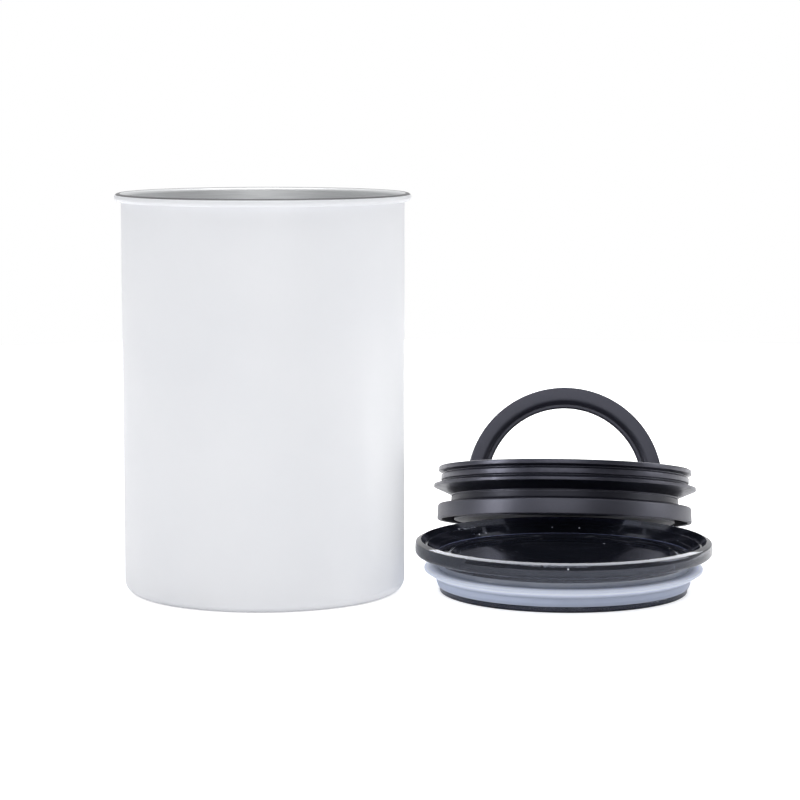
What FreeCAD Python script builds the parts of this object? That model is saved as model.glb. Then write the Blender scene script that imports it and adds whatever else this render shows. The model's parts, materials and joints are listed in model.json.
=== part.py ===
import FreeCAD, Part
import math
import os

# A coffee canister with its outer lid and its valved inner lid laid beside it.
# Sizes are in millimetres. The canister stands on z = 0 with its axis on Z.
# The outer lid lies flat to the right, and the inner lid leans back behind it,
# with its lower edge on the table and its underside on the outer lid's rim.

# Canister
can_diameter = 120.65
can_height = 171.0
sheet_thickness = 0.6
rim_curl_radius = 1.75
rim_curl_turn = 300.0
base_corner_radius = 5.2
foot_width = 5.5
base_lap = 4.0
base_raise = 2.6
base_bend_radius = 1.0

# Outer lid
flange_overhang = 0.8
flange_height = 6.5
flange_top_round = 2.4
flange_lower_round = 2.0
lid_wall = 2.0
plug_clearance = 6.3
plug_depth = 15.8
plug_edge_round = 0.6
bead_height = 2.6
groove_depth = 1.4
shoulder_step = 1.0
shoulder_height = 5.4
rim_width = 2.7
rim_inner_round = 0.2
rim_slope_width = 1.6
ledge_drop = 2.4
ledge_width = 1.2
ledge_round = 0.3
channel_slope_width = 4.3
channel_drop = 6.4
channel_width = 5.0
channel_round = 1.5
panel_slope_width = 2.7
panel_drop = 6.9
panel_round = 2.0

# Outer lid gasket, with its heights as shares of the groove's height
band_step = 1.3
band_lower_step = 0.6
lip_overlap = 0.3
lip_edge_round = 0.3
band_low_share = 0.20
band_high_share = 0.44
lip_low_share = 0.88

# Inner lid base
ring_clearance = 0.2
ring_height = 7.4
ring_draft = 0.3
ring_wall = 2.0
ring_lower_round = 0.6
ring_top_round = 1.0
neck_step = 6.4
neck_height = 3.4
neck_fillet = 1.5
parting_height = 0.5
parting_depth = 0.7
hub_step = 1.6
hub_wall = 1.8
floor_thickness = 2.2

# Wiper gasket, with its heights as shares of the gasket's height
gasket_height = 13.7
top_fin_step = 6.1
middle_fin_step = 4.9
fin_root_step = 3.4
wiper_overlap = 1.6
fin_edge_round = 0.15
wiper_low_share = 0.03
wiper_tip_low_share = 0.29
wiper_tip_high_share = 0.385
notch_share = 0.49
middle_tip_low_share = 0.53
middle_tip_high_share = 0.70
top_fin_root_share = 0.76
top_fin_low_share = 0.835
top_fin_high_share = 0.985

# Inner lid deck
deck_depth = 11.3
deck_thickness = 2.0
deck_wall = 1.8
deck_fillet = 1.0
deck_flange_thickness = 1.5
deck_flange_overlap = 2.5
deck_flange_round = 0.4
snap_depth = 0.5
snap_height = 1.6
snap_round = 0.2
ear_radius = 3.6
ear_gap = 0.4

# Handle, a half ring about its pivot, made as a back frame and a front cover
handle_side_gap = 1.9
handle_width = 9.8
handle_thickness = 6.0
handle_fold_gap = 0.6
handle_edge_round = 0.9
frame_thickness = 2.8
cover_lip = 1.8
cover_inset = 0.2
cover_outer_round = 0.7
cover_inner_round = 2.8
cover_end_gap = 0.2
peg_radius = 1.1
peg_length = 1.6
peg_angles = (35.0, 65.0, 115.0, 145.0)

# Pivot pins
pin_radius = 1.6
pin_inset = 1.6
pin_end_gap = 0.3
pin_running_gap = 0.08

# Valve in the deck, below the folded handle's crown
stopper_radius = 3.8
stopper_depth = 1.8
nose_root_radius = 3.2
nose_tip_radius = 2.5
nose_length = 3.4
nose_round = 0.8
seat_wall = 1.9
seat_height = 4.4
valve_gap = 0.35
vent_radius = 2.4
vent_tube_wall = 2.0
vent_hole_radius = 0.6
vent_hole_circle = 1.5
vent_hole_count = 6

# Clearances and places
fit_gap = 0.05
press_gap = 0.03
overrun = 1.0
rest_gap = 0.3
outer_lid_gap = 1.6
outer_lid_forward = 3.6
inner_lid_side = 6.5
lean_angle = 12.5
lean_turn = -5.5
inner_lid_spin = 5.0

# Sizes worked out from the canister
can_radius = can_diameter / 2
bore_radius = can_radius - sheet_thickness
rim_radius = bore_radius + 2 * rim_curl_radius
foot_radius = can_radius - base_corner_radius

# Sizes worked out for the outer lid, measured up from the plug's lower edge
flange_radius = rim_radius + flange_overhang
lid_height = plug_depth + flange_height
plug_radius = bore_radius - plug_clearance
groove_radius = plug_radius - groove_depth
plug_inner_radius = groove_radius - lid_wall
groove_top = plug_depth - shoulder_height
shoulder_radius = plug_radius + shoulder_step
rim_inner_radius = flange_radius - rim_width
ledge_radius = rim_inner_radius - rim_slope_width
ledge_inner_radius = ledge_radius - ledge_width
channel_radius = ledge_inner_radius - channel_slope_width
channel_level = lid_height - channel_drop

# Sizes worked out for the inner lid, measured up from its underside
ring_radius = bore_radius - ring_clearance
neck_radius = ring_radius - neck_step
hub_radius = neck_radius - hub_step
hub_bore_radius = hub_radius - hub_wall
seat_level = ring_height + neck_height + parting_height
lid_top = seat_level + gasket_height
hub_top = lid_top - deck_flange_thickness
deck_top = lid_top - deck_depth
deck_low = deck_top - deck_thickness
deck_radius = hub_bore_radius - fit_gap
deck_bore_radius = deck_radius - deck_wall
deck_flange_radius = hub_radius + deck_flange_overlap
handle_radius = deck_bore_radius - handle_side_gap
handle_bore_radius = handle_radius - handle_width
handle_half = handle_thickness / 2
pivot_level = deck_top + handle_fold_gap + handle_half
valve_reach = (handle_radius + handle_bore_radius) / 2
seat_radius = nose_root_radius + valve_gap + seat_wall

origin = FreeCAD.Vector(0, 0, 0)
along_x = FreeCAD.Vector(1, 0, 0)
along_y = FreeCAD.Vector(0, 1, 0)
up = FreeCAD.Vector(0, 0, 1)


def section_face(points):
    """A face in the XZ plane from (r, z) points, with a corner radius as a third value."""
    corners = [FreeCAD.Vector(point[0], 0, point[1]) for point in points]
    spans = []
    edges = []
    for i, corner in enumerate(corners):
        if len(points[i]) == 2:
            spans.append((corner, corner))
            continue
        radius = points[i][2]
        back = (corners[i - 1] - corner).normalize()
        ahead = (corners[(i + 1) % len(corners)] - corner).normalize()
        half = back.getAngle(ahead) / 2
        reach = radius / math.tan(half)
        inward = (back + ahead).normalize()
        middle = corner + inward * (radius / math.sin(half) - radius)
        spans.append((corner + back * reach, corner + ahead * reach))
        edges.append(Part.Arc(spans[i][0], middle, spans[i][1]).toShape())
    for i, span in enumerate(spans):
        edges.append(Part.makeLine(spans[i - 1][1], span[0]))
    return Part.Face(Part.Wire(Part.__sortEdges__(edges)))


def turned(points):
    """A solid turned about Z from its half section."""
    return section_face(points).revolve(origin, up, 360)


def half_ring(points):
    """A half ring standing on the XY plane, from its (r, y) section, turned about Y."""
    face = section_face(points)
    face.rotate(origin, along_x, -90)
    return face.revolve(origin, -along_y, 180)


def rod(radius, start, end):
    """A cylinder from one point to another."""
    way = end - start
    return Part.makeCylinder(radius, way.Length, start, way)


def moved(shape, x, y, z):
    """A copy of a shape moved by x, y and z."""
    copy = shape.copy()
    copy.translate(FreeCAD.Vector(x, y, z))
    return copy


def can_shell():
    """The drawn sheet: foot flange, rounded corner, wall and outward curled rim."""
    centre_r = bore_radius + rim_curl_radius
    centre_z = can_height - rim_curl_radius
    start = math.pi
    end = start - math.radians(rim_curl_turn)

    def on_curl(radius, angle):
        return FreeCAD.Vector(centre_r + radius * math.cos(angle), 0, centre_z + radius * math.sin(angle))

    def curl(radius):
        points = [on_curl(radius, angle) for angle in (start, (start + end) / 2, end)]
        return Part.Arc(*points).toShape()

    def corner(radius):
        centre = FreeCAD.Vector(foot_radius, 0, base_corner_radius)
        low = centre - up * radius
        side = centre + along_x * radius
        middle = centre + (along_x - up).normalize() * radius
        return Part.Arc(low, middle, side).toShape()

    inner_curl_radius = rim_curl_radius - sheet_thickness
    inner_corner_radius = base_corner_radius - sheet_thickness
    foot_edge = foot_radius - foot_width
    edges = [curl(rim_curl_radius), curl(inner_curl_radius)]
    edges += [corner(base_corner_radius), corner(inner_corner_radius)]
    lines = [
        ((foot_edge, 0), (foot_radius, 0)),
        ((can_radius, base_corner_radius), (can_radius, centre_z)),
        ((bore_radius, base_corner_radius), (bore_radius, centre_z)),
        ((foot_edge, sheet_thickness), (foot_radius, sheet_thickness)),
        ((foot_edge, 0), (foot_edge, sheet_thickness)),
    ]
    for (r1, z1), (r2, z2) in lines:
        edges.append(Part.makeLine(FreeCAD.Vector(r1, 0, z1), FreeCAD.Vector(r2, 0, z2)))
    edges.append(Part.makeLine(on_curl(inner_curl_radius, end), on_curl(rim_curl_radius, end)))
    wall = Part.Face(Part.Wire(Part.__sortEdges__(edges)))
    return wall.revolve(origin, up, 360)


def base_plate():
    """The pressed disc that closes the can, lapped on the inside of the foot."""
    lap_radius = foot_radius - sheet_thickness
    slope_radius = lap_radius - base_lap
    dish_radius = slope_radius - base_raise
    return turned([
        (0, base_raise),
        (dish_radius, base_raise, base_bend_radius),
        (slope_radius, sheet_thickness, base_bend_radius),
        (lap_radius, sheet_thickness),
        (lap_radius, 2 * sheet_thickness),
        (slope_radius, 2 * sheet_thickness, base_bend_radius),
        (dish_radius, base_raise + sheet_thickness, base_bend_radius),
        (0, base_raise + sheet_thickness),
    ])


def outer_lid():
    """The clear ring of the outer lid: plug with its gasket groove, flange, ledge and channel wall."""
    ledge_level = lid_height - ledge_drop
    return turned([
        (plug_inner_radius, 0, plug_edge_round),
        (plug_radius, 0, plug_edge_round),
        (plug_radius, bead_height, plug_edge_round),
        (groove_radius, bead_height),
        (groove_radius, groove_top),
        (shoulder_radius, groove_top),
        (shoulder_radius, plug_depth),
        (flange_radius, plug_depth, flange_lower_round),
        (flange_radius, lid_height, flange_top_round),
        (rim_inner_radius, lid_height, rim_inner_round),
        (ledge_radius, ledge_level, ledge_round),
        (ledge_inner_radius, ledge_level, ledge_round),
        (channel_radius, channel_level, channel_round),
        (plug_inner_radius, channel_level),
    ])


def outer_lid_panel():
    """The clear top of the outer lid: a sunk panel and the channel floor, joined to the ring at its bore."""
    joint_radius = plug_inner_radius - press_gap
    channel_inner_radius = channel_radius - channel_width
    panel_radius = channel_inner_radius - panel_slope_width
    panel_level = lid_height - panel_drop
    under_shift = lid_wall / 2
    return turned([
        (0, panel_level - lid_wall),
        (panel_radius - under_shift, panel_level - lid_wall, panel_round),
        (channel_inner_radius - under_shift, channel_level - lid_wall, channel_round),
        (joint_radius, channel_level - lid_wall),
        (joint_radius, channel_level),
        (channel_inner_radius, channel_level, channel_round),
        (panel_radius, panel_level, panel_round),
        (0, panel_level),
    ])


def outer_lid_gasket():
    """The silicone band in the plug's groove, with one level lip that seals in the can's mouth."""
    band_radius = plug_radius + band_step
    lip_radius = bore_radius + lip_overlap
    height = groove_top - bead_height

    def level(share):
        return bead_height + share * height

    return turned([
        (groove_radius + fit_gap, bead_height),
        (plug_radius + band_lower_step, bead_height),
        (band_radius, level(band_low_share)),
        (band_radius, level(band_high_share)),
        (lip_radius, level(lip_low_share), lip_edge_round),
        (lip_radius, groove_top, lip_edge_round),
        (groove_radius + fit_gap, groove_top),
    ])


def inner_lid_base():
    """The lower moulding: guide ring, neck, hub and floor with the vent holes."""
    ring_bore_radius = ring_radius - ring_wall
    web_level = ring_height - ring_wall
    snap_low = deck_low - fit_gap
    snap_top = deck_low + snap_height + fit_gap
    snap_radius = deck_radius + snap_depth + fit_gap
    groove_radius_inner = neck_radius - parting_depth
    groove_level = seat_level - parting_height
    base = turned([
        (0, 0),
        (hub_radius, 0),
        (hub_radius, web_level),
        (ring_bore_radius, web_level),
        (ring_bore_radius, 0),
        (ring_radius, 0, ring_lower_round),
        (ring_radius - ring_draft, ring_height, ring_top_round),
        (neck_radius, ring_height, neck_fillet),
        (neck_radius, groove_level),
        (groove_radius_inner, groove_level),
        (groove_radius_inner, seat_level),
        (hub_radius, seat_level),
        (hub_radius, hub_top),
        (hub_bore_radius, hub_top),
        (hub_bore_radius, snap_top),
        (snap_radius, snap_top),
        (snap_radius, snap_low),
        (hub_bore_radius, snap_low),
        (hub_bore_radius, floor_thickness),
        (0, floor_thickness),
    ])
    for i in range(vent_hole_count):
        angle = 2 * math.pi * i / vent_hole_count
        x = vent_hole_circle * math.cos(angle)
        y = valve_reach + vent_hole_circle * math.sin(angle)
        low = FreeCAD.Vector(x, y, -overrun)
        high = FreeCAD.Vector(x, y, floor_thickness + overrun)
        base = base.cut(rod(vent_hole_radius, low, high))
    return base


def wiper_gasket():
    """The silicone sleeve round the hub, with its wiper, middle and top fins."""
    wiper_radius = bore_radius + wiper_overlap
    middle_radius = neck_radius + middle_fin_step
    top_radius = neck_radius + top_fin_step
    root_radius = neck_radius + fin_root_step

    def level(share):
        return seat_level + share * gasket_height

    return turned([
        (hub_radius + fit_gap, seat_level),
        (neck_radius, seat_level),
        (neck_radius, level(wiper_low_share)),
        (wiper_radius, level(wiper_tip_low_share), fin_edge_round),
        (wiper_radius, level(wiper_tip_high_share), fin_edge_round),
        (root_radius, level(notch_share)),
        (middle_radius, level(middle_tip_low_share), fin_edge_round),
        (middle_radius, level(middle_tip_high_share), fin_edge_round),
        (root_radius, level(top_fin_root_share)),
        (top_radius, level(top_fin_low_share), fin_edge_round),
        (top_radius, level(top_fin_high_share), fin_edge_round),
        (deck_flange_radius + fit_gap, lid_top),
        (deck_flange_radius + fit_gap, hub_top),
        (hub_radius + fit_gap, hub_top),
    ])


def inner_lid_deck():
    """The cup pressed into the hub: snap bead, flange, handle ears and vent tube."""
    deck = turned([
        (0, deck_low),
        (deck_radius + snap_depth, deck_low, snap_round),
        (deck_radius + snap_depth, deck_low + snap_height, snap_round),
        (deck_radius, deck_low + snap_height),
        (deck_radius, hub_top),
        (deck_flange_radius, hub_top),
        (deck_flange_radius, lid_top, deck_flange_round),
        (deck_bore_radius, lid_top, deck_flange_round),
        (deck_bore_radius, deck_top, deck_fillet),
        (0, deck_top),
    ])
    tube_radius = seat_radius + vent_tube_wall
    tube_foot = FreeCAD.Vector(0, valve_reach, floor_thickness)
    tube_top = FreeCAD.Vector(0, valve_reach, deck_top)
    deck = deck.fuse(rod(tube_radius, tube_foot, tube_top))
    ear_face = handle_radius + ear_gap
    ear_back = deck_bore_radius + deck_wall / 2
    for side in (-1, 1):
        face_point = FreeCAD.Vector(side * ear_face, 0, pivot_level)
        back_point = FreeCAD.Vector(side * ear_back, 0, pivot_level)
        web_depth = pivot_level - deck_top
        web_corner = FreeCAD.Vector(min(side * ear_face, side * ear_back), -ear_radius, deck_top)
        web = Part.makeBox(ear_back - ear_face, 2 * ear_radius, web_depth, web_corner)
        deck = deck.fuse(rod(ear_radius, face_point, back_point)).fuse(web)
    reach = deck_radius + overrun
    for side in (-1, 1):
        hole_start = FreeCAD.Vector(side * (ear_face - overrun), 0, pivot_level)
        hole_end = FreeCAD.Vector(side * reach, 0, pivot_level)
        deck = deck.cut(rod(pin_radius + pin_running_gap, hole_start, hole_end))
    seat_floor = FreeCAD.Vector(0, valve_reach, deck_top - seat_height)
    deck = deck.cut(rod(seat_radius + fit_gap, seat_floor, tube_top + up * overrun))
    deck = deck.cut(rod(vent_radius, tube_foot - up * overrun, tube_top))
    return deck.removeSplitter()


def valve_seat():
    """The rubber ring in the vent tube that the stopper's nose drops into."""
    nose_depth = nose_length - handle_fold_gap + valve_gap
    ring = turned([
        (vent_radius, deck_top - seat_height),
        (seat_radius, deck_top - seat_height),
        (seat_radius, deck_top),
        (nose_root_radius + valve_gap, deck_top),
        (nose_tip_radius + valve_gap, deck_top - nose_depth),
        (vent_radius, deck_top - nose_depth),
    ])
    return moved(ring, 0, valve_reach, 0)


def peg_points(depth):
    """The start and end of each peg between the handle's cover and frame."""
    split = handle_half - frame_thickness
    radius = (handle_bore_radius + cover_lip + handle_radius - cover_inset) / 2
    for degrees in peg_angles:
        angle = math.radians(degrees)
        start = FreeCAD.Vector(radius * math.cos(angle), split, pivot_level + radius * math.sin(angle))
        yield start, start + along_y * depth


def handle_frame():
    """The back of the handle, with the hubs that hold the pins and the stopper's pocket."""
    split = handle_half - frame_thickness
    frame = half_ring([
        (handle_bore_radius, split, handle_edge_round),
        (handle_radius, split),
        (handle_radius, handle_half, handle_edge_round),
        (handle_bore_radius, handle_half, handle_edge_round),
    ])
    for side in (-1, 1):
        inner = along_x * (side * handle_bore_radius)
        outer = along_x * (side * handle_radius)
        frame = frame.fuse(rod(handle_half, inner, outer))
    for side in (-1, 1):
        hole_start = along_x * (side * (handle_bore_radius + pin_inset))
        hole_end = along_x * (side * (handle_radius + overrun))
        frame = frame.cut(rod(pin_radius + press_gap, hole_start, hole_end))
    pocket_floor = FreeCAD.Vector(0, handle_half - stopper_depth, valve_reach)
    pocket_mouth = FreeCAD.Vector(0, handle_half + overrun, valve_reach)
    frame = frame.cut(rod(stopper_radius + fit_gap, pocket_floor, pocket_mouth))
    frame = moved(frame, 0, 0, pivot_level)
    for start, end in peg_points(peg_length + fit_gap):
        frame = frame.cut(rod(peg_radius + fit_gap, start - along_y * overrun, end))
    return frame


def handle_cover():
    """The front of the handle, set in from the frame's inner edge and pegged into it."""
    split = handle_half - frame_thickness
    cover = half_ring([
        (handle_bore_radius + cover_lip, -handle_half, cover_inner_round),
        (handle_radius - cover_inset, -handle_half, cover_outer_round),
        (handle_radius - cover_inset, split),
        (handle_bore_radius + cover_lip, split),
    ])
    end_level = handle_half + cover_end_gap
    below = FreeCAD.Vector(-handle_radius, -handle_thickness, -overrun)
    cover = cover.cut(Part.makeBox(2 * handle_radius, 2 * handle_thickness, end_level + overrun, below))
    cover = moved(cover, 0, 0, pivot_level)
    for start, end in peg_points(peg_length):
        cover = cover.fuse(rod(peg_radius, start, end))
    return cover


def pivot_pins():
    """The two pins, pressed in the handle's hubs and turning in the deck's ears."""
    pins = []
    for side in (-1, 1):
        inner = FreeCAD.Vector(side * (handle_bore_radius + pin_inset), 0, pivot_level)
        outer = FreeCAD.Vector(side * (deck_radius - pin_end_gap), 0, pivot_level)
        pins.append(rod(pin_radius, inner, outer))
    return Part.makeCompound(pins)


def valve_stopper():
    """The rubber nose in the handle's crown, pointing back from it."""
    stopper = turned([
        (0, -stopper_depth),
        (stopper_radius, -stopper_depth),
        (stopper_radius, 0),
        (nose_root_radius, 0),
        (nose_tip_radius, nose_length, nose_round),
        (0, nose_length),
    ])
    stopper.rotate(origin, along_x, -90)
    return moved(stopper, 0, handle_half, pivot_level + valve_reach)


def outer_lid_place():
    """The outer lid's centre on the table, beside the can's rim and a little in front."""
    distance = rim_radius + flange_radius + outer_lid_gap
    x = math.sqrt(distance ** 2 - outer_lid_forward ** 2)
    return FreeCAD.Placement(FreeCAD.Vector(x, -outer_lid_forward, 0), FreeCAD.Rotation())


def inner_lid_place():
    """The inner lid's lean: its ring on the table, its underside just over the outer lid's rim."""
    lean = math.radians(lean_angle)
    turn = math.radians(lean_turn)
    side = math.sin(lean)
    rise = math.cos(lean)
    normal = FreeCAD.Vector(-math.sin(turn) * side, math.cos(turn) * side, rise)
    lid = outer_lid_place().Base
    x = lid.x + inner_lid_side
    z = (ring_radius - ring_lower_round) * side + ring_lower_round * (1 - rise)
    rim = (flange_radius - flange_top_round) * side + (lid_height - flange_top_round) * rise
    level = normal.dot(lid) + rim + flange_top_round + rest_gap
    y = (level - normal.x * x - normal.z * z) / normal.y
    turned_way = FreeCAD.Rotation(up, lean_turn)
    leaned = FreeCAD.Rotation(along_x, -lean_angle)
    spun = FreeCAD.Rotation(up, inner_lid_spin)
    return FreeCAD.Placement(FreeCAD.Vector(x, y, z), turned_way * leaned * spun)


def write(pieces, place):
    """Write each named piece at its place."""
    for name, shape in pieces.items():
        shape.Placement = place * shape.Placement
        shape.exportStep("parts/" + name + ".step")


os.makedirs("parts", exist_ok=True)
write({"can_shell": can_shell(), "base_plate": base_plate()}, FreeCAD.Placement())
outer_lid_pieces = {
    "outer_lid": outer_lid(),
    "outer_lid_panel": outer_lid_panel(),
    "outer_lid_gasket": outer_lid_gasket(),
}
write(outer_lid_pieces, outer_lid_place())
inner_lid_pieces = {
    "inner_lid_base": inner_lid_base(),
    "inner_lid_deck": inner_lid_deck(),
    "wiper_gasket": wiper_gasket(),
    "valve_seat": valve_seat(),
    "handle_frame": handle_frame(),
    "handle_cover": handle_cover(),
    "pivot_pins": pivot_pins(),
    "valve_stopper": valve_stopper(),
}
write(inner_lid_pieces, inner_lid_place())
print("outer lid", outer_lid_place())
print("inner lid", inner_lid_place())
print("pivot level", pivot_level, "handle radius", handle_radius, "valve reach", valve_reach)
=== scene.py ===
# %% [markdown]
# # A coffee canister with its two lids laid beside it
# The can is drawn steel with a white powder coat. Its smoked outer lid lies flat on the
# table, and the black inner lid, which slides down onto the beans, leans on that lid's rim.
# The frame brings every piece at its real size and place, in metres, so this lesson only
# models the surfaces again, smoother than a frame mesh, and gives them their finishes.

# %% Load the frame
import json
import math

import bpy
from mathutils import Matrix, Vector


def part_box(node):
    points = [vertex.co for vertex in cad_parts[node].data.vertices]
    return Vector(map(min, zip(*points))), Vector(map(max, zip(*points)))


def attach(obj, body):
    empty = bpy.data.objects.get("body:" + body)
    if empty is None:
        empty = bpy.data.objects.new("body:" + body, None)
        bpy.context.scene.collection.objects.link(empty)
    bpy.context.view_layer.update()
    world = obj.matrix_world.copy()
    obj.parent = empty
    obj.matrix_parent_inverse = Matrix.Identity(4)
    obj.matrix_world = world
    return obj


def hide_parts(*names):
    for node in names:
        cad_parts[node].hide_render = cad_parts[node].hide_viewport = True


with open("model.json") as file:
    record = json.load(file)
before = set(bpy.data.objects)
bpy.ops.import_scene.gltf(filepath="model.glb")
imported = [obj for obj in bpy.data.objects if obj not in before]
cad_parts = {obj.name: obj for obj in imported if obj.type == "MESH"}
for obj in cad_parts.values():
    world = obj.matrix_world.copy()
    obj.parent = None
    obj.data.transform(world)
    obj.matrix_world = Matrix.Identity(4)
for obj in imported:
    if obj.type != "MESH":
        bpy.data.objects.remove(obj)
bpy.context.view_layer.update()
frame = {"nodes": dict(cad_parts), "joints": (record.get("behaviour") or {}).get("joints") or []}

mm = 0.001

# %% [markdown]
# ## The camera
# The picture was taken from in front with a long lens, a little above the can's rim. A long
# lens keeps the can's sides parallel. The spot, pitch and lens were fitted to the ends of
# the rim, the foot and the two lids.

# %% Camera
camera_spot = Vector((0.058386, -1.20605, 0.220993))
camera_pitch = math.radians(6.571)
camera_lens = 127.14
camera_sensor = 36

bpy.ops.object.select_all(action="DESELECT")
bpy.ops.object.camera_add(location=camera_spot, rotation=(math.pi / 2 - camera_pitch, 0, 0))
camera = bpy.context.active_object
camera.data.lens = camera_lens
camera.data.sensor_width = camera_sensor
bpy.context.scene.camera = camera
print("camera", [round(v, 3) for v in camera.location], "lens", camera_lens)

# %% [markdown]
# ## Rounding an outline
# Most of these pieces are turned: one half section, spun about an axis. On a real mould no
# corner is sharp, and it is the small round that catches a line of light. So an outline is
# a list of (radius, height) corners in millimetres, with a corner radius as a third value
# where there is a round, and this helper turns each round into a short run of points.

# %% Outline helper
arc_step = math.radians(12)


def rounded(corners):
    """The outline's points in metres, with an arc of points at each corner that has a radius."""
    spots = [Vector(corner[:2]) for corner in corners]
    points = []
    for i, spot in enumerate(spots):
        if len(corners[i]) == 2:
            points.append(spot * mm)
            continue
        radius = corners[i][2]
        back = (spots[i - 1] - spot).normalized()
        ahead = (spots[(i + 1) % len(spots)] - spot).normalized()
        half = back.angle(ahead) / 2
        centre = spot + (back + ahead).normalized() * radius / math.sin(half)
        first = spot + back * radius / math.tan(half) - centre
        last = spot + ahead * radius / math.tan(half) - centre
        sweep = first.angle_signed(last)
        steps = max(2, math.ceil(abs(sweep) / arc_step))
        for step in range(steps + 1):
            points.append((centre + Matrix.Rotation(-sweep * step / steps, 2) @ first) * mm)
    return points


print("one square corner becomes", len(rounded([(0, 0), (1, 0, 0.2), (1, 1)])) - 2, "points")

# %% [markdown]
# ## Spinning an outline
# A lathe in Blender is a point that is extruded from corner to corner and then spun. An
# outline that starts and ends on the axis closes itself at the two poles; any other one is
# closed by going back to its first point. Doubles are merged where the spin meets its own
# start, and only then can the normals be turned outwards.

# %% Lathe helper
fine_steps = 192
smooth_steps = 256
small_steps = 96
merge_distance = 1e-7
smooth_angle = math.radians(35)


def tidy_mesh():
    """Merge doubles, close open ends and turn the faces outwards, in edit mode."""
    bpy.ops.mesh.select_all(action="SELECT")
    bpy.ops.mesh.remove_doubles(threshold=merge_distance)
    bpy.ops.mesh.select_mode(type="EDGE")
    bpy.ops.mesh.select_all(action="DESELECT")
    bpy.ops.mesh.select_non_manifold(extend=False)
    bpy.ops.mesh.fill_holes(sides=0)
    bpy.ops.mesh.select_mode(type="FACE")
    bpy.ops.mesh.select_all(action="SELECT")
    bpy.ops.mesh.normals_make_consistent(inside=False)


def turned(name, points, steps=fine_steps, angle=2 * math.pi):
    """A piece spun about Z from (radius, height) points in metres."""
    on_axis = points[0].x == 0 and points[-1].x == 0
    path = points if on_axis else points + [points[0]]
    bpy.ops.object.select_all(action="DESELECT")
    bpy.ops.mesh.primitive_plane_add(size=mm, location=(path[0].x, 0, path[0].y))
    piece = bpy.context.active_object
    piece.name = name
    bpy.ops.object.transform_apply(location=True, rotation=True, scale=True)
    bpy.ops.object.mode_set(mode="EDIT")
    bpy.ops.mesh.select_mode(type="VERT")
    bpy.ops.mesh.select_all(action="SELECT")
    bpy.ops.mesh.merge(type="CENTER")
    for start, end in zip(path, path[1:]):
        step = end - start
        bpy.ops.mesh.extrude_vertices_move(TRANSFORM_OT_translate={"value": (step.x, 0, step.y)})
    bpy.ops.mesh.select_all(action="SELECT")
    bpy.ops.mesh.remove_doubles(threshold=merge_distance)
    bpy.ops.mesh.spin(steps=steps, angle=angle, center=(0, 0, 0), axis=(0, 0, -1))
    tidy_mesh()
    bpy.ops.object.mode_set(mode="OBJECT")
    bpy.ops.object.shade_smooth_by_angle(angle=smooth_angle)
    return piece


print("a full turn has", fine_steps, "steps")

# %% [markdown]
# ## Placing and dressing
# A piece is modelled on its own axis and then put in its place. The place goes into the mesh,
# so every object stays at the origin. Dressing gives it its finishes, hangs it on an empty named
# after the body that carries it, and hides the frame nodes it stands for.

# %% Place and dress helpers


def put(piece, place):
    """Move a piece to its place and leave that place in its mesh."""
    bpy.ops.object.select_all(action="DESELECT")
    piece.select_set(True)
    bpy.context.view_layer.objects.active = piece
    piece.matrix_world = place
    bpy.ops.object.transform_apply(location=True, rotation=True, scale=True)
    return piece


def dress(piece, body, slot, nodes, *materials):
    """Give a piece its finishes and its body, and hide the frame nodes it replaces."""
    for material in materials:
        piece.data.materials.append(material)
    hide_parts(*nodes)
    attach(piece, body)
    size = [round(v / mm, 1) for v in piece.dimensions]
    print(piece.name, "rides on", body, "faces", len(piece.data.polygons), "size", size)


print("pieces stand for", len(frame["nodes"]), "nodes")

# %% [markdown]
# ## Cutting and joining
# Holes, pockets, lugs and hubs aren't turned about the piece's own axis. They are made as
# pieces of their own and cut from it or joined to it with a Boolean modifier, which is then
# applied, so that the finished mesh is one closed skin.

# %% Boolean helper


def combine(piece, tool, operation):
    """Cut a tool from a piece, or join it on, and remove the tool."""
    bpy.ops.object.select_all(action="DESELECT")
    piece.select_set(True)
    bpy.context.view_layer.objects.active = piece
    modifier = piece.modifiers.new("combine", "BOOLEAN")
    modifier.operation = operation
    modifier.solver = "EXACT"
    modifier.object = tool
    bpy.ops.object.modifier_apply(modifier=modifier.name)
    bpy.data.objects.remove(tool)
    bpy.ops.object.mode_set(mode="EDIT")
    bpy.ops.mesh.select_all(action="SELECT")
    bpy.ops.mesh.remove_doubles(threshold=merge_distance)
    bpy.ops.mesh.normals_make_consistent(inside=False)
    bpy.ops.object.mode_set(mode="OBJECT")
    bpy.ops.object.shade_smooth_by_angle(angle=smooth_angle)


print("one skin after each cut")

# %% [markdown]
# Drills, pins, hubs and lugs are all round rods, so one helper turns them, and another joins
# several rods into one object, which is then cut or joined on in one go.

# %% Rod helpers
rod_steps = 48


def at(x, y, z):
    """A point in metres from millimetres."""
    return Vector((x, y, z)) * mm


def rod(name, radius, start, end, round_edge=0.0):
    """A round rod between two points in metres, with rounded ends where that is asked for."""
    way = end - start
    length = way.length / mm
    edges = [(radius, 0), (radius, length)]
    if round_edge:
        edges = [(*edge, round_edge) for edge in edges]
    piece = turned(name, rounded([(0, 0), *edges, (0, length)]), steps=rod_steps)
    facing = way.to_track_quat("Z", "Y").to_matrix().to_4x4()
    return put(piece, Matrix.Translation(start) @ facing)


def merged(pieces):
    """Several pieces joined into one object."""
    bpy.ops.object.select_all(action="DESELECT")
    for piece in pieces:
        piece.select_set(True)
    bpy.context.view_layer.objects.active = pieces[0]
    bpy.ops.object.join()
    return pieces[0]


print("rods have", rod_steps, "sides")

# %% [markdown]
# ## Patterns for the finishes
# Every finish here starts from noise in Object coordinates. The pieces sit at the origin
# with their place in the mesh, so a pattern stays put when the piece moves, and its scale
# is in cycles per metre: 1000 is one cycle per millimetre.

# %% Pattern helpers


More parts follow.
